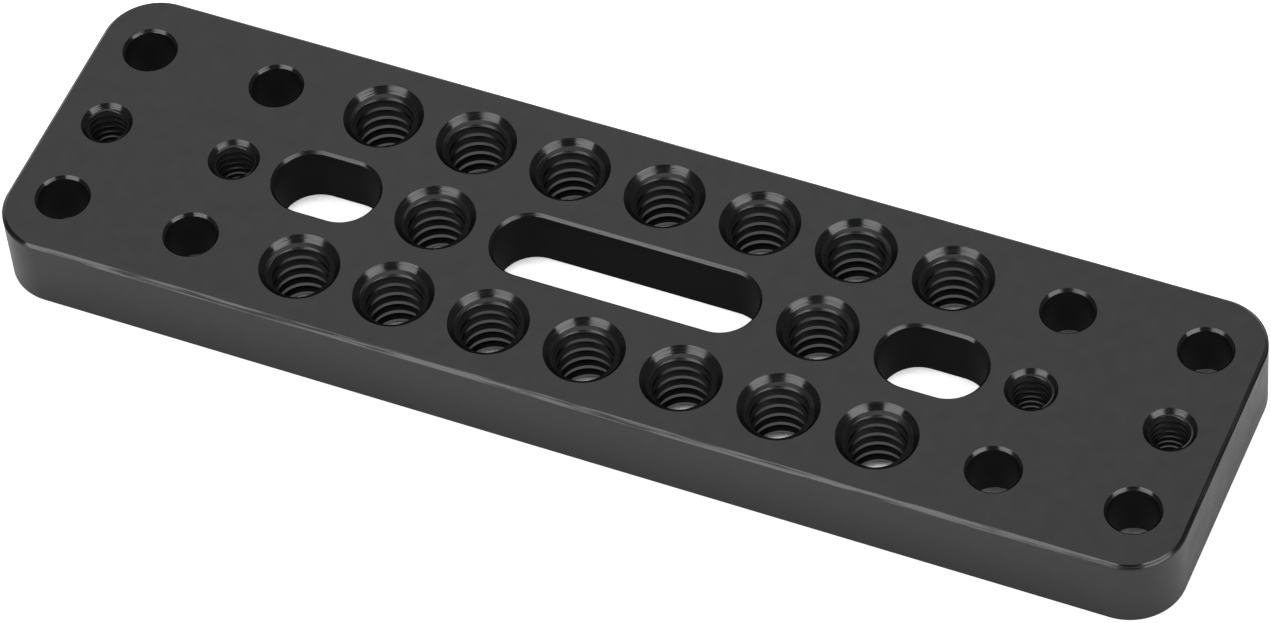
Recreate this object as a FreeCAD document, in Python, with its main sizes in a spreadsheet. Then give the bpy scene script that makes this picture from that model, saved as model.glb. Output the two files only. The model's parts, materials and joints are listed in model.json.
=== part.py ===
import FreeCAD, Part
import math
import os

import Sketcher
from FreeCAD import Vector

# Monitor mounting plate: a rounded bar milled from one piece of aluminium. Millimetres, +Z up.
# The origin is the middle of the underside, +X runs along the plate and +Y to its back edge.
# Two kinds of tapped hole and three slots take camera and monitor screws from either face. The
# threads are plain walls at the tap drill's size here.

PART = "mounting_plate"

# name: (value, what it is)
SIZES = {
    "end_margin": (5.0, "from the outer station's axes to the plate's end"),
    "side_margin": (6.0, "from a row's axes to the plate's long edge"),
    "plate_thickness": (7.8, "face to face"),
    "corner_radius": (5.0, "corners seen from above"),
    "edge_chamfer": (0.35, "round both faces"),
    "hole_pitch": (9.0, "between the columns of large tapped holes"),
    "row_offset": (9.0, "from the middle line to each outer row"),
    "inner_station": (37.5, "half of the 75 mm monitor hole spacing"),
    "outer_station": (50.0, "half of the 100 mm monitor hole spacing"),
    "large_tap": (5.1, "tap drill of the 1/4-20 thread"),
    "large_sink": (7.2, "mouth of its countersinks, both faces"),
    "small_tap": (3.3, "tap drill of the M4 thread"),
    "small_sink": (4.65, "mouth of its countersinks, both faces"),
    "screw_hole": (4.5, "clearance hole for an M4 screw"),
    "screw_sink": (9.0, "seat of its flat head, in the underside"),
    "slot_width": (6.7, "clearance for a 1/4 inch screw"),
    "short_slot_travel": (3.0, "how far a screw slides in a short slot"),
    "head_width": (9.8, "recess for the screw's head, in the underside"),
    "head_depth": (1.9, "depth of that recess"),
    "edge_break": (0.25, "on the slots and the plain holes"),
}

# large tapped holes in each outer row, counted from the middle column, and the pair between the rows
ROW_COLUMNS = range(-3, 4)
MIDDLE_COLUMNS = (-2, 2)
# slots from one end's axis to the other: hole pitches, then travels of a short slot
SLOTS = (((-1, 0), (1, 0)), ((3, 0), (3, 1)), ((-3, -1), (-3, 0)))
COUNTERSINK_ANGLE = 90


def size(name):
    return SIZES[name][0]


def make_sheet(doc):
    """The driving dimensions, one to a row: name, value under that alias, and what it is."""
    sheet = doc.addObject("Spreadsheet::Sheet", "Sizes")
    for row, (name, (value, note)) in enumerate(SIZES.items(), start=1):
        sheet.set(f"A{row}", name)
        sheet.set(f"B{row}", str(value))
        sheet.setAlias(f"B{row}", name)
        sheet.set(f"C{row}", note)
    return sheet


def add_sketch(body, name, height=None):
    """An empty sketch on the underside's plane, or on a parallel one at the given height."""
    sketch = body.newObject("Sketcher::SketchObject", name)
    plane = next(f for f in body.Origin.OriginFeatures if f.Role == "XY_Plane")
    sketch.AttachmentSupport = [(plane, "")]
    sketch.MapMode = "FlatFace"
    if height:
        sketch.setExpression("AttachmentOffset.Base.z", height)
    return sketch


def bind(sketch, name, constraint, expression):
    """Add a dimension to a sketch and tie it to the sheet."""
    index = sketch.addConstraint(constraint)
    sketch.renameConstraint(index, name)
    sketch.setExpression(f".Constraints.{name}", expression)


def place(sketch, name, geometry, point, x, y):
    """Hold a point at x, y from the origin, each given as (number now, expression)."""
    for axis, (value, expression) in (("X", x), ("Y", y)):
        held = Sketcher.Constraint(f"Distance{axis}", -1, 1, geometry, point, value)
        bind(sketch, f"{name}_{axis.lower()}", held, expression)


def draw_outline(sketch):
    """The plate's rectangle, centred on the origin and square to the axes."""
    length = 2 * (size("outer_station") + size("end_margin"))
    width = 2 * (size("row_offset") + size("side_margin"))
    corners = []
    for across, along in ((-1, -1), (1, -1), (1, 1), (-1, 1)):
        corners.append(Vector(across * length / 2, along * width / 2, 0))
    sides = [Part.LineSegment(corners[i], corners[(i + 1) % 4]) for i in range(4)]
    sketch.addGeometry(sides, False)
    for i, level in enumerate(("Horizontal", "Vertical", "Horizontal", "Vertical")):
        sketch.addConstraint(Sketcher.Constraint("Coincident", i, 2, (i + 1) % 4, 1))
        sketch.addConstraint(Sketcher.Constraint(level, i))
    sketch.addConstraint(Sketcher.Constraint("Symmetric", 0, 1, 1, 2, -1, 1))
    along = Sketcher.Constraint("DistanceX", 0, 1, 0, 2, length)
    bind(sketch, "plate_length", along, "2 * (Sizes.outer_station + Sizes.end_margin)")
    across = Sketcher.Constraint("DistanceY", 1, 1, 1, 2, width)
    bind(sketch, "plate_width", across, "2 * (Sizes.row_offset + Sizes.side_margin)")


def draw_circles(sketch, diameter, spots):
    """Equal circles. A spot is (count, size along X, count, size along Y)."""
    for i, (nx, x_size, ny, y_size) in enumerate(spots):
        centre = Vector(nx * size(x_size), ny * size(y_size), 0)
        sketch.addGeometry(Part.Circle(centre, Vector(0, 0, 1), size(diameter) / 2), False)
        x = (centre.x, f"{nx} * Sizes.{x_size}")
        y = (centre.y, f"{ny} * Sizes.{y_size}")
        place(sketch, f"hole{i}", i, 3, x, y)
        if i:
            sketch.addConstraint(Sketcher.Constraint("Equal", 0, i))
    wide = Sketcher.Constraint("Diameter", 0, size(diameter))
    bind(sketch, "diameter", wide, f"Sizes.{diameter}")


def draw_slots(sketch, width):
    """The three slots on the middle line, each two end arcs and two straight sides."""
    half = size(width) / 2
    for number, ends in enumerate(SLOTS):
        spots = []
        for pitches, travels in ends:
            value = pitches * size("hole_pitch") + travels * size("short_slot_travel")
            rule = f"{pitches} * Sizes.hole_pitch + {travels} * Sizes.short_slot_travel"
            spots.append((value, rule))
        first, last = spots[0][0], spots[1][0]
        left, right, top, bottom = range(4 * number, 4 * number + 4)
        for x, start in ((first, math.pi / 2), (last, -math.pi / 2)):
            ring = Part.Circle(Vector(x, 0, 0), Vector(0, 0, 1), half)
            sketch.addGeometry(Part.ArcOfCircle(ring, start, start + math.pi), False)
        for y in (half, -half):
            sketch.addGeometry(Part.LineSegment(Vector(first, y, 0), Vector(last, y, 0)), False)
        for line, left_end, right_end in ((top, 1, 2), (bottom, 2, 1)):
            sketch.addConstraint(Sketcher.Constraint("Tangent", line, 1, left, left_end))
            sketch.addConstraint(Sketcher.Constraint("Tangent", line, 2, right, right_end))
        sketch.addConstraint(Sketcher.Constraint("Equal", left, right))
        for arc, spot, end in ((left, spots[0], "left"), (right, spots[1], "right")):
            place(sketch, f"slot{number}_{end}", arc, 3, spot, (0, "0 mm"))
        if number:
            sketch.addConstraint(Sketcher.Constraint("Equal", 0, left))
    bind(sketch, "radius", Sketcher.Constraint("Radius", 0, half), f"Sizes.{width} / 2")


def settle(body, feature, removes=True):
    """Work a feature out, and stop if it failed or, being a cut, took nothing away."""
    before = feature.BaseFeature.Shape.Volume if feature.BaseFeature else 0
    body.Document.recompute()
    if not feature.isValid() or feature.Shape.isNull():
        raise RuntimeError(f"{feature.Name} failed")
    if removes and not feature.Shape.Volume < before:
        raise RuntimeError(f"{feature.Name} cut nothing")


def level_edges(shape, height, inside=None):
    """Names of the edges that lie at one height, or of those no further from the middle line than inside."""
    names = []
    for i, edge in enumerate(shape.Edges, start=1):
        box = edge.BoundBox
        level = abs(box.ZMin - height) < 1e-4 and abs(box.ZMax - height) < 1e-4
        near = inside is None or max(-box.YMin, box.YMax) < inside + 1e-4
        if level and near:
            names.append(f"Edge{i}")
    return names


def add_chamfer(body, name, edges, rule):
    base = body.Tip
    chamfer = body.newObject("PartDesign::Chamfer", name)
    chamfer.Base = (base, edges)
    chamfer.setExpression("Size", rule)
    settle(body, chamfer)


def add_pocket(body, name, sketch, depth=None):
    """Cut a sketch down through the plate, or up into the underside by a depth."""
    pocket = body.newObject("PartDesign::Pocket", name)
    pocket.Profile = sketch
    if depth:
        pocket.Reversed = True
        pocket.setExpression("Length", depth)
    else:
        pocket.Type = "ThroughAll"
    settle(body, pocket)


def add_holes(body, name, spots, bore, mouths):
    """Drill holes right through, with a countersink in the top face and one in the underside."""
    for face, mouth in zip(("top", "under"), mouths):
        under = face == "under"
        sketch = add_sketch(body, f"{name}_{face}_axes", None if under else "Sizes.plate_thickness")
        draw_circles(sketch, bore, spots)
        body.Document.recompute()
        hole = body.newObject("PartDesign::Hole", f"{name}_{face}")
        hole.Profile = sketch
        hole.Reversed = under
        hole.ThreadType = "None"
        hole.DepthType = "ThroughAll"
        hole.HoleCutType = "Countersink"
        hole.HoleCutCustomValues = True
        hole.HoleCutCountersinkAngle = COUNTERSINK_ANGLE
        hole.setExpression("Diameter", f"Sizes.{bore}")
        hole.setExpression("HoleCutDiameter", mouth)
        settle(body, hole)


def make_bar(body):
    """The bar itself: outline, thickness, round corners and the chamfer round both faces."""
    outline = add_sketch(body, "outline")
    draw_outline(outline)
    bar = body.newObject("PartDesign::Pad", "bar")
    bar.Profile = outline
    bar.setExpression("Length", "Sizes.plate_thickness")
    settle(body, bar, removes=False)
    upright = []
    for i, edge in enumerate(bar.Shape.Edges, start=1):
        if edge.BoundBox.ZLength > size("plate_thickness") / 2:
            upright.append(f"Edge{i}")
    corners = body.newObject("PartDesign::Fillet", "corners")
    corners.Base = (bar, upright)
    corners.setExpression("Radius", "Sizes.corner_radius")
    settle(body, corners)
    rims = level_edges(corners.Shape, 0) + level_edges(corners.Shape, size("plate_thickness"))
    add_chamfer(body, "outer_chamfer", rims, "Sizes.edge_chamfer")


def make_slots(body):
    """One long and two short slots with a broken top edge, over recesses for screw heads."""
    slots = add_sketch(body, "slot_outlines", "Sizes.plate_thickness")
    draw_slots(slots, "slot_width")
    add_pocket(body, "slots", slots)
    rims = level_edges(body.Tip.Shape, size("plate_thickness"), size("slot_width") / 2)
    add_chamfer(body, "slot_edges", rims, "Sizes.edge_break")
    recesses = add_sketch(body, "recess_outlines")
    draw_slots(recesses, "head_width")
    add_pocket(body, "recesses", recesses, "Sizes.head_depth")
    rims = level_edges(body.Tip.Shape, 0, size("head_width") / 2)
    add_chamfer(body, "recess_edges", rims, "Sizes.edge_break")


def make_holes(body):
    """Large tapped holes in three rows, and a small tapped hole between two plain ones at each station."""
    large = [(k, "hole_pitch", side, "row_offset") for side in (-1, 1) for k in ROW_COLUMNS]
    large += [(k, "hole_pitch", 0, "row_offset") for k in MIDDLE_COLUMNS]
    add_holes(body, "large_tapped", large, "large_tap", ("Sizes.large_sink",) * 2)
    stations = [(end, name) for name in ("inner_station", "outer_station") for end in (-1, 1)]
    small = [(end, name, 0, "row_offset") for end, name in stations]
    add_holes(body, "small_tapped", small, "small_tap", ("Sizes.small_sink",) * 2)
    plain = [(end, name, side, "row_offset") for end, name in stations for side in (-1, 1)]
    mouths = ("Sizes.screw_hole + 2 * Sizes.edge_break", "Sizes.screw_sink")
    add_holes(body, "screw_holes", plain, "screw_hole", mouths)


def check(doc, body):
    """Stop unless every object worked out and the plate is one sound solid."""
    failed = [o.Name for o in doc.Objects if {"Invalid", "Error"} & set(o.State)]
    if failed:
        raise RuntimeError(f"failed: {failed}")
    shape = body.Shape
    if shape.isNull() or not shape.isValid() or len(shape.Solids) != 1:
        raise RuntimeError(f"{body.Label} isn't one valid solid")


def main():
    doc = FreeCAD.newDocument("MonitorMountingPlate")
    make_sheet(doc)
    body = doc.addObject("PartDesign::Body", PART)
    body.Label = PART
    doc.recompute()
    make_bar(body)
    make_slots(body)
    make_holes(body)
    check(doc, body)
    os.makedirs("parts", exist_ok=True)
    body.Shape.exportStep(f"parts/{body.Label}.step")
    box = body.Shape.BoundBox
    print(f"{body.Label}: {box.XLength:.2f} x {box.YLength:.2f} x {box.ZLength:.2f} mm")
    print(f"volume {body.Shape.Volume / 1000:.3f} cubic cm, {len(body.Shape.Faces)} faces")


main()
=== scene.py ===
"""Monitor mounting plate in bead blasted, black anodised aluminium, with cut screw threads.

The plate is one piece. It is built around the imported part, in its frame and in metres: the origin
is the middle of the underside, +X runs along the plate and +Z points out of the top face.
"""

import json
import math

import bmesh
import bpy
from mathutils import Matrix, Vector


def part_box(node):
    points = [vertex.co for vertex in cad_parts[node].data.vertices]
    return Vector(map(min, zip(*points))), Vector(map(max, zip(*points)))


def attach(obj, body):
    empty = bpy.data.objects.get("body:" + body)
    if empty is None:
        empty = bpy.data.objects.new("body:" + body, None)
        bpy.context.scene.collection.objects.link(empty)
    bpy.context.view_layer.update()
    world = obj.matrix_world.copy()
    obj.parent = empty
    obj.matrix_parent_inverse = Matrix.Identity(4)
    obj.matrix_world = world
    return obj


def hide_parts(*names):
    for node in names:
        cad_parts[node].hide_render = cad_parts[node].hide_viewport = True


bl_info = {
    "name": "Monitor mounting plate",
    "version": (1, 0, 0),
    "blender": (4, 5, 0),
    "location": "3D View > Sidebar > Mounting plate",
    "description": "Builds an anodised plate with tapped holes, screw holes and slots",
    "category": "Add Mesh",
}

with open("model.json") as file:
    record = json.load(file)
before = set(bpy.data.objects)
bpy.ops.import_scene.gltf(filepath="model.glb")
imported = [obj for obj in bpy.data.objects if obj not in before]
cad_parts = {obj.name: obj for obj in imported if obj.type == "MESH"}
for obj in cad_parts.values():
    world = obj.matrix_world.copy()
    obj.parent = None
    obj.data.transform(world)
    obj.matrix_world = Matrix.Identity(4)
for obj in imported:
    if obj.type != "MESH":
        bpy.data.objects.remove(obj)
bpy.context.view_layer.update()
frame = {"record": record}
LOWEST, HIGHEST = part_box("mounting_plate")
MM = 0.001

# the flanks of both threads lean 30 degrees from square to the hole
FLANK_SLOPE = math.tan(math.radians(30))
# the ledge below a countersink falls gently towards the hole
LEDGE_SLOPE = math.tan(math.radians(15))
# closer than this is the same place
NEAR = 0.0001 * MM
# the table lies this far under the plate, so that no two faces fill the same place
TABLE_GAP = 0.02 * MM
# from the table's middle to its edges, in metres
TABLE_HALF = 3.0
# what stands over the table within this distance makes it less open there, and darkens its glow as a
# painted shadow
TABLE_REACH = 8 * MM
# the share of the table's look that is its glow, which is white where its strength is 1
TABLE_GLOW = 0.95
# edges that turn by more than this stay crisp
CRISP = math.radians(12)


def pattern(name):
    """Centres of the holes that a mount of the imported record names."""
    mount = next(m for m in frame["record"]["mounts"] if m["name"] == name)
    across, along = (mount["dims"].get(f"spacing_{axis}_mm", 0) * MM / 2 for axis in "xy")
    spots = {(sx * across, sy * along) for sx in (-1, 1) for sy in (-1, 1)}
    return [Vector((x, y, 0)) for x, y in sorted(spots)]


LARGE_HOLES = [
    spot
    for mount in ("outer", "second", "inner", "centre", "middle")
    for spot in pattern(f"large_tapped_{mount}")
]
SMALL_HOLES = pattern("small_tapped_75") + pattern("small_tapped_100")
SCREW_HOLES = pattern("screw_holes_75") + pattern("screw_holes_100")
SHORT_SLOTS = pattern("short_slots")


def length(name, description, millimetres):
    """A length that a user can change."""
    return bpy.props.FloatProperty(
        name=name,
        description=description,
        default=millimetres * MM,
        min=0.0,
        precision=5,
        unit="LENGTH",
        subtype="DISTANCE",
    )


def linear(hex_code):
    """An sRGB hex colour as the linear red, green and blue that Blender works in."""
    channels = []
    for start in (1, 3, 5):
        level = int(hex_code[start : start + 2], 16) / 255
        channels.append(level / 12.92 if level <= 0.04045 else ((level + 0.055) / 1.055) ** 2.4)
    return tuple(channels)


def colour(name, description, hex_code):
    """A colour that a user can change."""
    return bpy.props.FloatVectorProperty(
        name=name, description=description, default=linear(hex_code), subtype="COLOR", min=0, max=1
    )


class PlateSizes(bpy.types.PropertyGroup):
    """Sizes of the bar, the plain holes and the slots"""

    corner_radius: length("Corner radius", "Corners seen from above", 5.0)
    edge_chamfer: length("Edge chamfer", "Chamfer round both faces", 0.35)
    edge_break: length("Edge break", "Chamfer on the slots and the plain holes", 0.25)
    screw_hole: length("Screw hole", "Clearance hole for an M4 screw", 4.5)
    screw_sink: length("Screw seat", "Seat of its flat head, in the underside", 9.0)
    slot_width: length("Slot width", "Clearance for a 1/4 inch screw", 6.7)
    head_width: length("Recess width", "Recess for that screw's head, in the underside", 9.8)
    head_depth: length("Recess depth", "Depth of that recess", 1.9)
    long_travel: length("Long slot travel", "How far a screw slides in the long slot", 18.0)
    short_travel: length("Short slot travel", "How far a screw slides in a short slot", 3.0)


class LargeThread(bpy.types.PropertyGroup):
    """Sizes of the 1/4-20 tapped holes"""

    pitch: length("Pitch", "1/4-20 thread, from crest to crest", 1.27)
    major: length("Major diameter", "Across the thread's roots", 6.35)
    minor: length("Minor diameter", "Across its crests, the tap drill's size", 5.1)
    mouth: length("Mouth", "Countersinks in both faces", 7.2)
    lip: length("Lip", "Chamfer where the ledge meets the bore", 0.14)
    ledge: length("Ledge", "Across the foot of the countersink, where the ledge starts", 6.14)
    first_crest: length("First crest", "Depth of the first crest at the thread's start", 0.61)


class SmallThread(bpy.types.PropertyGroup):
    """Sizes of the M4 tapped holes"""

    pitch: length("Pitch", "M4 thread, from crest to crest", 0.7)
    major: length("Major diameter", "Across the thread's roots", 4.0)
    minor: length("Minor diameter", "Across its crests, the tap drill's size", 3.3)
    mouth: length("Mouth", "Countersinks in both faces", 4.65)
    lip: length("Lip", "Chamfer where the ledge meets the bore", 0.14)
    ledge: length("Ledge", "Across the foot of the countersink, where the ledge starts", 3.9)
    first_crest: length("First crest", "Depth of the first crest at the thread's start", 0.32)


class Finish(bpy.types.PropertyGroup):
    """Colours of the anodised film, of the metal where it is rubbed, and of the bored walls,
    whose darkness is painted shade
    """

    dye: colour("Dye", "Black dye in the anodised film", "#17181a")
    rubbed: colour("Rubbed", "The metal where a tap has burnished through the dye", "#808183")
    # painted shade: a darker film for the rough walls inside the plain holes and slots
    bored_shade: colour("Bored", "The dye where a drill or a mill left the metal rough", "#0e0e0f")


class Studio(bpy.types.PropertyGroup):
    """The table and the light of the room"""

    table: colour("Table", "Plain pale table under the plate", "#f4f4f4")
    room: bpy.props.FloatProperty(
        name="Room", description="Light that the studio's walls throw back", default=0.1, min=0.0
    )


# which finish a face has, by its place in the plate's list of materials; the bored one is rough, and
# its darkness is painted shade
BLASTED, CUT, MILLED, RUBBED, BORED_SHADED = range(5)
# how finely each of the bar's corners, a plain hole and the two sizes of thread are divided
CORNER_SEGMENTS = 24
HOLE_SEGMENTS = 96
LARGE_COLUMNS = 96
SMALL_COLUMNS = 72
# a face is flat where more than this part of its normal lies along the holes
FLAT = 0.9
# and it is upright where less than this part does
UPRIGHT = 0.1
# where round a hole the first crest's depth is given, counterclockwise from +X
THREAD_START = math.radians(118)


def soften(bm, edges, offset, segments):
    """Bevel edges, flat with one segment and round with more."""
    bmesh.ops.bevel(
        bm,
        geom=list(edges),
        offset=offset,
        offset_type="OFFSET",
        affect="EDGES",
        segments=segments,
        profile=0.5,
        material=-1,
        clamp_overlap=False,
    )


def make_bar(bm, sizes):
    """The bar's walls with round corners and chamfers. Both faces stay open."""
    room = HIGHEST - LOWEST
    place = Matrix.Translation((0, 0, room.z / 2)) @ Matrix.Diagonal((*room, 1))
    bmesh.ops.create_cube(bm, size=1.0, matrix=place)
    uprights = [edge for edge in bm.edges if edge.verts[0].co.xy == edge.verts[1].co.xy]
    soften(bm, uprights, sizes.corner_radius, CORNER_SEGMENTS)
    lids = [face for face in bm.faces if abs(face.normal.z) > FLAT]
    rims = {edge for face in lids for edge in face.edges}
    soften(bm, rims, sizes.edge_chamfer, 1)
    for face in bm.faces:
        slanted = UPRIGHT < abs(face.normal.z) < FLAT
        face.material_index = MILLED if slanted else BLASTED
    lids = [face for face in bm.faces if abs(face.normal.z) > FLAT]
    bmesh.ops.delete(bm, geom=lids, context="FACES_ONLY")


def keep_mesh(bm, name):
    """Turn a finished bmesh into a mesh."""
    mesh = bpy.data.meshes.new(name)
    bm.to_mesh(mesh)
    bm.free()
    return mesh


def plain_wall(profile, travel=0.0):
    """The wall of a plain hole or a slot round the Z axis: a profile of (radius, height) pairs spun
    round, then pulled apart along X by a slot's travel."""
    bm = bmesh.new()
    start = Matrix.Rotation(math.pi / HOLE_SEGMENTS, 3, "Z")
    line = [bm.verts.new(start @ Vector((radius, 0, height))) for radius, height in profile]
    edges = [bm.edges.new(pair) for pair in zip(line, line[1:])]
    bmesh.ops.spin(
        bm,
        geom=line + edges,
        axis=(0, 0, 1),
        angle=2 * math.pi,
        steps=HOLE_SEGMENTS,
        use_merge=True,
    )
    for vertex in bm.verts:
        vertex.co.x += math.copysign(travel / 2, vertex.co.x)
    for face in bm.faces:
        upright = abs(face.normal.z) < UPRIGHT
        # upright walls get the bored finish, whose darker colour and weak reflection are painted
        # shade
        face.material_index = BORED_SHADED if upright else CUT
    return keep_mesh(bm, "plain_wall")


def cut_flat(bm, point, normal, clear):
    """Cut everything with a plane, and take away what lies past it or leave it."""
    bmesh.ops.bisect_plane(
        bm,
        geom=bm.verts[:] + bm.edges[:] + bm.faces[:],
        dist=NEAR,
        plane_co=point,
        plane_no=normal,
        clear_outer=clear,
    )


def thread_sheet(bm, thread, columns):
    """The thread as a flat sheet. X is the angle round the hole in radians, Y the height and Z the
    distance from the hole's axis, so each ridge is a straight strip that climbs by one pitch."""
    crest_r, root_r = thread.minor / 2, thread.major / 2
    flank = (root_r - crest_r) * FLANK_SLOPE
    root = thread.pitch / 8
    crest = thread.pitch - root - 2 * flank
    turns = math.ceil(HIGHEST.z / thread.pitch) + 2
    line = []
    for turn in range(turns, -2, -1):
        middle = HIGHEST.z - thread.first_crest - turn * thread.pitch
        for rise, radius in (
            (-crest / 2, crest_r),
            (crest / 2, crest_r),
            (crest / 2 + flank, root_r),
            (crest / 2 + flank + root, root_r),
        ):
            line.append(bm.verts.new((0, middle + rise, radius)))
    edges = [bm.edges.new(pair) for pair in zip(line, line[1:])]
    step = Vector((2 * math.pi / columns, thread.pitch / columns, 0))
    bmesh.ops.spin(bm, geom=line + edges, axis=(0, 0, 1), dvec=step, angle=0, steps=columns)
    cut_flat(bm, (0, HIGHEST.z, 0), (0, 1, 0), True)
    cut_flat(bm, (0, 0, 0), (0, -1, 0), True)


def open_mouth(bm, face_height, inward, cutter):
    """Countersink the sheet from one face with a cutter of (depth, radius) pairs, mouth first. The
    sheet is cut where it meets each of the cutter's slopes, and what the cutter reaches is pushed
    out to it."""
    for (upper, wide), (lower, narrow) in zip(cutter, cutter[1:]):
        slope = (0, inward * (wide - narrow), lower - upper)
        cut_flat(bm, (0, face_height + inward * upper, wide), slope, False)
        cut_flat(bm, (0, face_height + inward * lower, 0), (0, 1, 0), False)
    for vertex in bm.verts:
        depth = abs(vertex.co.y - face_height)
        for (upper, wide), (lower, narrow) in zip(cutter, cutter[1:]):
            if upper - NEAR <= depth <= lower + NEAR:
                reach = wide + (depth - upper) / (lower - upper) * (narrow - wide)
                vertex.co.z = max(vertex.co.z, reach)


def tapped_wall(thread, columns):
    """The wall of a tapped hole round the Z axis, as a mesh: a flat sheet that is then rolled up.
    Both mouths have a countersink, a ledge at its foot, and a lip where the ledge meets the bore."""
    bm = bmesh.new()
    thread_sheet(bm, thread, columns)
    mouth, ledge, bore = thread.mouth / 2, thread.ledge / 2, thread.minor / 2
    foot = mouth - ledge
    end = foot + (ledge - bore - thread.lip) * LEDGE_SLOPE
    cutter = ((0, mouth), (foot, ledge), (end, bore + thread.lip), (end + thread.lip, bore))
    open_mouth(bm, HIGHEST.z, -1, cutter)
    open_mouth(bm, 0, 1, cutter)
    bm.normal_update()
    for face in bm.faces:
        radii = [vertex.co.z for vertex in face.verts]
        heights = [vertex.co.y for vertex in face.verts]
        depth = min(HIGHEST.z - max(heights), min(heights))
        on_countersink = depth < foot - NEAR
        on_ledge = abs(face.normal.y) > FLAT
        on_crest = max(radii) < bore + NEAR
        if on_countersink or on_ledge:
            face.material_index = CUT
        else:
            face.material_index = RUBBED if on_crest else BLASTED
    for vertex in bm.verts:
        turn, height, radius = vertex.co
        angle = THREAD_START + turn
        vertex.co = (radius * math.cos(angle), radius * math.sin(angle), height)
    bmesh.ops.remove_doubles(bm, verts=bm.verts[:], dist=NEAR)
    return keep_mesh(bm, "tapped_wall")


def add_copies(bm, wall, centres):
    """Put a copy of a finished wall at each centre."""
    for centre in centres:
        wall.transform(Matrix.Translation(centre))
        bm.from_mesh(wall)
        wall.transform(Matrix.Translation(-centre))
    bpy.data.meshes.remove(wall)


def close_face(bm, height, normal):
    """Fill the open edges at one height, which leaves the holes and slots open."""
    rims = [
        edge
        for edge in bm.edges
        if len(edge.link_faces) == 1 and all(abs(v.co.z - height) < NEAR for v in edge.verts)
    ]
    made = bmesh.ops.triangle_fill(bm, use_beauty=True, edges=rims, normal=normal)
    return [item for item in made["geom"] if isinstance(item, bmesh.types.BMFace)]


class MOUNTINGPLATE_OT_plate(bpy.types.Operator):
    """Build the plate with its threads, countersinks, slots and recesses"""

    bl_idname = "mounting_plate.plate"
    bl_label = "Plate"

    def execute(self, context):
        sizes = context.scene.plate_sizes
        top = HIGHEST.z
        bm = bmesh.new()
        make_bar(bm, sizes)
        slot, head, gap = sizes.slot_width / 2, sizes.head_width / 2, sizes.edge_break
        slot_profile = (
            (slot + gap, top),
            (slot, top - gap),
            (slot, sizes.head_depth),
            (head, sizes.head_depth),
            (head, gap),
            (head + gap, 0),
        )
        add_copies(bm, plain_wall(slot_profile, sizes.long_travel), [Vector()])
        add_copies(bm, plain_wall(slot_profile, sizes.short_travel), SHORT_SLOTS)
        hole, seat = sizes.screw_hole / 2, sizes.screw_sink / 2
        hole_profile = ((hole + gap, top), (hole, top - gap), (hole, seat - hole), (seat, 0))
        add_copies(bm, plain_wall(hole_profile), SCREW_HOLES)
        add_copies(bm, tapped_wall(context.scene.large_thread, LARGE_COLUMNS), LARGE_HOLES)
        add_copies(bm, tapped_wall(context.scene.small_thread, SMALL_COLUMNS), SMALL_HOLES)
        flats = close_face(bm, top, (0, 0, 1)) + close_face(bm, 0, (0, 0, -1))
        bmesh.ops.recalc_face_normals(bm, faces=bm.faces[:])
        for face in bm.faces:
            face.smooth = True
        for face in flats:
            face.smooth = False
        open_edges = sum(len(e.link_faces) != 2 for e in bm.edges)
        if open_edges:
            raise RuntimeError(f"the plate has {open_edges} open edges")
        mesh = keep_mesh(bm, "plate")
        mesh.set_sharp_from_angle(angle=CRISP)
        finish = context.scene.finish
        for material in (
            blasted_anodising(finish),
            cut_anodising(finish, "cut_anodised_aluminium", dullest=0.26),
            cut_anodising(finish, "milled_anodised_aluminium", dullest=0.5),
            rubbed_anodising(finish),
            bored_shaded_anodising(finish),
        ):
            mesh.materials.append(material)
        plate = bpy.data.objects.new("plate", mesh)
        context.scene.collection.objects.link(plate)
        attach(plate, "root")
        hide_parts("mounting_plate")
        return {"FINISHED"}


def add_node(tree, kind, inputs=(), **settings):
    """Add a node, set its settings, and give its inputs values or links from other nodes."""
    node = tree.nodes.new(kind)
    for name, value in settings.items():
        setattr(node, name, value)
    for name, value in dict(inputs).items():
        if isinstance(value, bpy.types.NodeSocket):
            tree.links.new(value, node.inputs[name])
        else:
            node.inputs[name].default_value = value
    return node


def new_material(name):
    """A material with an empty node tree."""
    material = bpy.data.materials.new(name)
    material.use_nodes = True
    material.node_tree.nodes.clear()
    return material


def mottle(tree, size, stretch=1.0):
    """An uneven pattern from 0 to 1 in the plate's own space. Its spots are about size high, and
    stretch times as long on the level."""
    place = add_node(tree, "ShaderNodeTexCoord").outputs["Object"]
    level = 1 / (stretch * size)
    mapped = add_node(
        tree, "ShaderNodeMapping", {"Vector": place, "Scale": (level, level, 1 / size)}
    )
    made = add_node(
        tree,
        "ShaderNodeTexNoise",
        {"Vector": mapped.outputs["Vector"], "Scale": 1.0, "Detail": 2.0},
    )
    return made.outputs["Fac"]


def blasted_anodising(finish):
    """Black anodised aluminium, bead blasted first, so that it shines softly and evenly. The dyed
    oxide film reflects as glass does, and a fine grain breaks the sheen."""
    material = new_material("blasted_anodised_aluminium")
    tree = material.node_tree
    # the dents are about 0.05 mm across, and are drawn three times as coarse so that they show
    grain = add_node(
        tree,
        "ShaderNodeBump",
        {"Height": mottle(tree, 0.15 * MM), "Strength": 0.12, "Distance": 0.02 * MM},
    )
    # blasting by hand leaves some spots a little duller than others
    clouds = add_node(
        tree,
        "ShaderNodeMapRange",
        {
            "Value": mottle(tree, 1.5 * MM),
            "From Min": 0.3,
            "From Max": 0.7,
            "To Min": 0.27,
            "To Max": 0.34,
        },
    )
    shader = add_node(
        tree,
        "ShaderNodeBsdfPrincipled",
        {
            "Base Color": (*finish.dye, 1),
            "Roughness": clouds.outputs["Result"],
            "IOR": 1.6,
            "Normal": grain.outputs["Normal"],
        },
    )
    add_node(tree, "ShaderNodeOutputMaterial", {"Surface": shader.outputs["BSDF"]})
    return material


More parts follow.
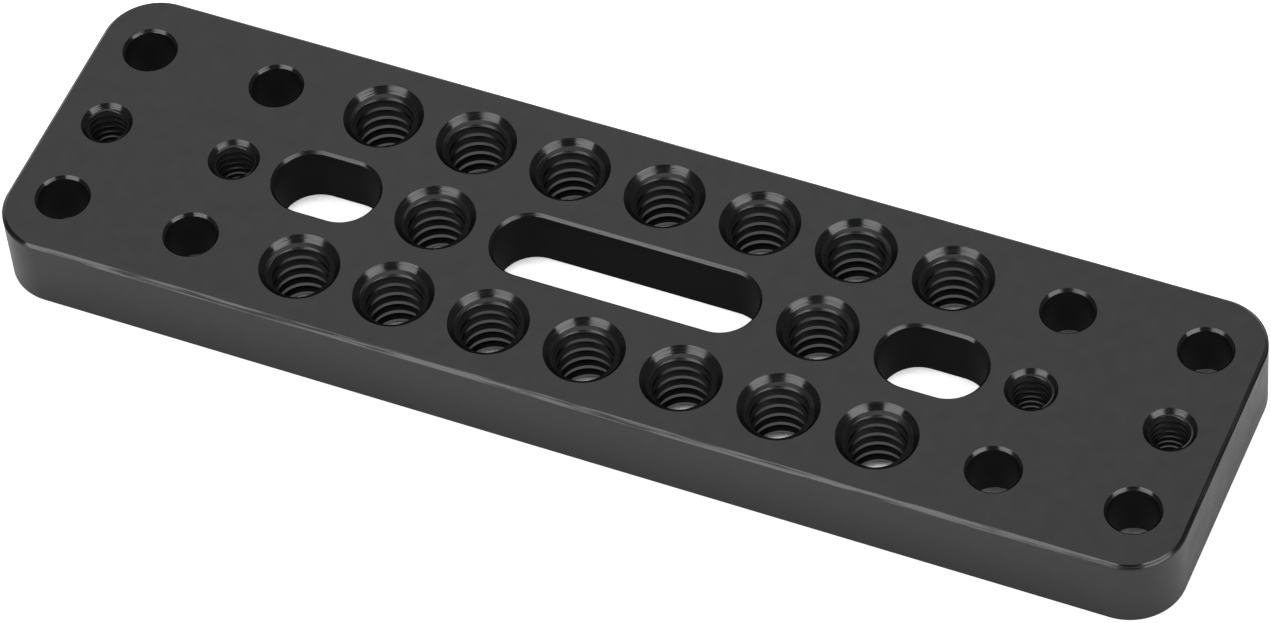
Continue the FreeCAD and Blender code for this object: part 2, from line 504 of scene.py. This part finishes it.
def cut_anodising(finish, name, dullest):
    """The same film on metal that a cutter left bright, so that it mirrors the softboxes. Fine
    lines run the way the cutter ran, and the dullest of them has the roughness that is given."""
    material = new_material(name)
    tree = material.node_tree
    # the lines are about as far apart as a cutter moves on in a turn
    lines = add_node(
        tree,
        "ShaderNodeBump",
        {"Height": mottle(tree, 0.08 * MM, 30), "Strength": 0.4, "Distance": 0.03 * MM},
    )
    # some of the lines are duller than the rest
    duller = add_node(
        tree,
        "ShaderNodeMapRange",
        {
            "Value": mottle(tree, 0.12 * MM, 50),
            "From Min": 0.42,
            "From Max": 0.62,
            "To Min": 0.12,
            "To Max": dullest,
        },
    )
    shader = add_node(
        tree,
        "ShaderNodeBsdfPrincipled",
        {
            "Base Color": (*finish.dye, 1),
            "Roughness": duller.outputs["Result"],
            "IOR": 1.6,
            "Normal": lines.outputs["Normal"],
        },
    )
    add_node(tree, "ShaderNodeOutputMaterial", {"Surface": shader.outputs["BSDF"]})
    return material


def rubbed_anodising(finish):
    """Thread crests, where the tap burnished the metal. They catch more light than the flanks, and
    show as thin grey lines."""
    material = new_material("rubbed_anodised_aluminium")
    tree = material.node_tree
    shader = add_node(
        tree,
        "ShaderNodeBsdfPrincipled",
        {
            "Base Color": (*finish.rubbed, 1),
            "Metallic": 1.0,
            "Specular Tint": (*finish.dye, 1),
            "Roughness": 0.25,
        },
    )
    add_node(tree, "ShaderNodeOutputMaterial", {"Surface": shader.outputs["BSDF"]})
    return material


def bored_shaded_anodising(finish):
    """The film on walls that a drill or an end mill left rough, so they are matt. Its darker colour
    and weak reflection are painted shade, for the walls inside the plain holes and slots.
    """
    material = new_material("bored_shaded_anodised_aluminium")
    tree = material.node_tree
    shader = add_node(
        # the darker colour and the low IOR, which mirrors little, are painted shade; the roughness
        # is the drill's
        tree,
        "ShaderNodeBsdfPrincipled",
        {"Base Color": (*finish.bored_shade, 1), "Roughness": 0.6, "IOR": 1.25},
    )
    add_node(tree, "ShaderNodeOutputMaterial", {"Surface": shader.outputs["BSDF"]})
    return material


def pale_table(studio):
    """A white studio table that glows. To the camera its glow is white, and grey only deep in the
    holes, where an occlusion measure darkens it as a painted shadow. Reflections show the glow
    duller, most of all close to the plate, a painted shadow too. From below it is see-through."""
    material = new_material("pale_table")
    tree = material.node_tree
    matt = add_node(tree, "ShaderNodeBsdfDiffuse", {"Color": (*studio.table, 1)})
    occlusion = add_node(tree, "ShaderNodeAmbientOcclusion", {"Distance": TABLE_REACH}, samples=16)
    openness = occlusion.outputs["AO"]
    path = add_node(tree, "ShaderNodeLightPath").outputs
    # white as soon as a place is a little open, as under the slots; less open, the glow fades as a
    # painted shadow
    open_part = add_node(
        tree,
        "ShaderNodeMapRange",
        {"Value": openness, "From Min": 0.105, "From Max": 0.14, "To Min": 0.0, "To Max": 1.1},
    )
    # painted shadow: grey where it is hardly open, as under the threads
    painted_shadow_grey = add_node(tree, "ShaderNodeMath", {0: openness, 1: 2.1}, operation="MULTIPLY")
    glow_with_painted_shadow = add_node(
        tree,
        "ShaderNodeMath",
        {0: painted_shadow_grey.outputs[0], 1: open_part.outputs["Result"]},
        operation="MAXIMUM",
    )
    # what the plate's walls mirror, which a painted shadow makes duller close to them
    mirrored_painted_shadow = add_node(
        tree,
        "ShaderNodeMapRange",
        {"Value": openness, "From Min": 0.5, "From Max": 0.85, "To Min": 0.41, "To Max": 0.72},
    )
    # the glow's strength carries the painted shadow, to the camera and in reflections
    strength = add_node(
        tree,
        "ShaderNodeMix",
        {0: path["Is Glossy Ray"], 2: glow_with_painted_shadow.outputs[0], 3: mirrored_painted_shadow.outputs["Result"]},
    )
    glow = add_node(tree, "ShaderNodeEmission", {"Strength": strength.outputs[0]})
    seen = path["Is Camera Ray"]
    for kind in ("Is Glossy Ray", "Is Transmission Ray"):
        seen = add_node(tree, "ShaderNodeMath", {0: seen, 1: path[kind]}, operation="MAXIMUM")
        seen = seen.outputs[0]
    # the share that stays matt keeps the plate's shadow
    seen = add_node(tree, "ShaderNodeMath", {0: seen, 1: TABLE_GLOW}, operation="MULTIPLY")
    mixed = add_node(
        tree,
        "ShaderNodeMixShader",
        {0: seen.outputs[0], 1: matt.outputs["BSDF"], 2: glow.outputs["Emission"]},
    )
    below = add_node(tree, "ShaderNodeNewGeometry").outputs["Backfacing"]
    clear = add_node(tree, "ShaderNodeBsdfTransparent").outputs["BSDF"]
    sided = add_node(tree, "ShaderNodeMixShader", {0: below, 1: mixed.outputs["Shader"], 2: clear})
    add_node(tree, "ShaderNodeOutputMaterial", {"Surface": sided.outputs["Shader"]})
    return material


def add_softbox(name, azimuth, elevation, distance, width, height, brightness):
    """A softbox that faces the plate, at an azimuth and an elevation in degrees. Its brightness is
    what a mirror would show of it, 1 being white."""
    lamp = bpy.data.lights.new(name, "AREA")
    lamp.shape = "RECTANGLE"
    lamp.size, lamp.size_y = width, height
    lamp.energy = brightness * math.pi * width * height
    box = bpy.data.objects.new(name, lamp)
    a, e = math.radians(azimuth), math.radians(elevation)
    box.location = distance * Vector(
        (math.cos(a) * math.cos(e), math.sin(a) * math.cos(e), math.sin(e))
    )
    box.rotation_euler = (-box.location).to_track_quat("-Z", "Y").to_euler()
    box.visible_camera = False
    bpy.context.scene.collection.objects.link(box)


# azimuth and elevation in degrees, distance, width and height in metres, and brightness
SOFTBOXES = {
    "softbox_back": (118, 52, 1.2, 0.78, 1.62, 0.85),
    "softbox_left": (-111, 32, 1.0, 0.72, 0.4, 3.2),
    "softbox_right": (-20, 32, 1.0, 0.72, 0.4, 3.5),
}


class MOUNTINGPLATE_OT_stage(bpy.types.Operator):
    """Set up the table, the soft lights and the camera"""

    bl_idname = "mounting_plate.stage"
    bl_label = "Stage"

    def execute(self, context):
        scene = context.scene
        scene.view_settings.view_transform = "Standard"

        bm = bmesh.new()
        bmesh.ops.create_grid(bm, x_segments=1, y_segments=1, size=TABLE_HALF)
        mesh = keep_mesh(bm, "table")
        table = bpy.data.objects.new("table", mesh)
        table.location.z = -TABLE_GAP
        scene.collection.objects.link(table)
        mesh.materials.append(pale_table(scene.studio))

        world = bpy.data.worlds.new("studio")
        world.use_nodes = True
        tree = world.node_tree
        tree.nodes.clear()
        path = add_node(tree, "ShaderNodeLightPath").outputs
        # white to the camera, and to the plate only as bright as the room's walls
        strength = add_node(
            tree,
            "ShaderNodeMath",
            {0: path["Is Camera Ray"], 1: scene.studio.room},
            operation="MAXIMUM",
        )
        room = add_node(
            tree, "ShaderNodeBackground", {"Color": (1, 1, 1, 1), "Strength": strength.outputs[0]}
        )
        add_node(tree, "ShaderNodeOutputWorld", {"Surface": room.outputs["Background"]})
        scene.world = world

        for name, placing in SOFTBOXES.items():
            add_softbox(name, *placing)

        # fitted to the rims of the holes in the photograph
        lens = bpy.data.cameras.new("camera")
        lens.lens = 181.16
        lens.sensor_width = 36
        lens.clip_start = 0.01
        camera = bpy.data.objects.new("camera", lens)
        camera.location = (0.16022, -0.30624, 0.44027)
        camera.rotation_euler = [math.radians(a) for a in (38.1152, 3.7559, 22.7511)]
        scene.collection.objects.link(camera)
        scene.camera = camera
        return {"FINISHED"}


class MOUNTINGPLATE_PT_sidebar(bpy.types.Panel):
    """Lists the steps that build the plate, and its sizes"""

    bl_label = "Mounting plate"
    bl_idname = "MOUNTINGPLATE_PT_sidebar"
    bl_space_type = "VIEW_3D"
    bl_region_type = "UI"
    bl_category = "Mounting plate"

    def draw(self, context):
        for operator in (MOUNTINGPLATE_OT_plate, MOUNTINGPLATE_OT_stage):
            self.layout.operator(operator.bl_idname)
        for name in GROUPS:
            box = self.layout.box()
            group = getattr(context.scene, name)
            for setting in group.bl_rna.properties:
                if not setting.is_readonly and setting.identifier != "name":
                    box.prop(group, setting.identifier)


GROUPS = {
    "plate_sizes": PlateSizes,
    "large_thread": LargeThread,
    "small_thread": SmallThread,
    "finish": Finish,
    "studio": Studio,
}
CLASSES = (
    *GROUPS.values(),
    MOUNTINGPLATE_OT_plate,
    MOUNTINGPLATE_OT_stage,
    MOUNTINGPLATE_PT_sidebar,
)


def register():
    for made in CLASSES:
        bpy.utils.register_class(made)
    for name, group in GROUPS.items():
        setattr(bpy.types.Scene, name, bpy.props.PointerProperty(type=group))


def unregister():
    for name in GROUPS:
        delattr(bpy.types.Scene, name)
    for made in reversed(CLASSES):
        bpy.utils.unregister_class(made)


def main():
    register()
    bpy.ops.mounting_plate.plate()
    bpy.ops.mounting_plate.stage()


if __name__ == "__main__":
    main()
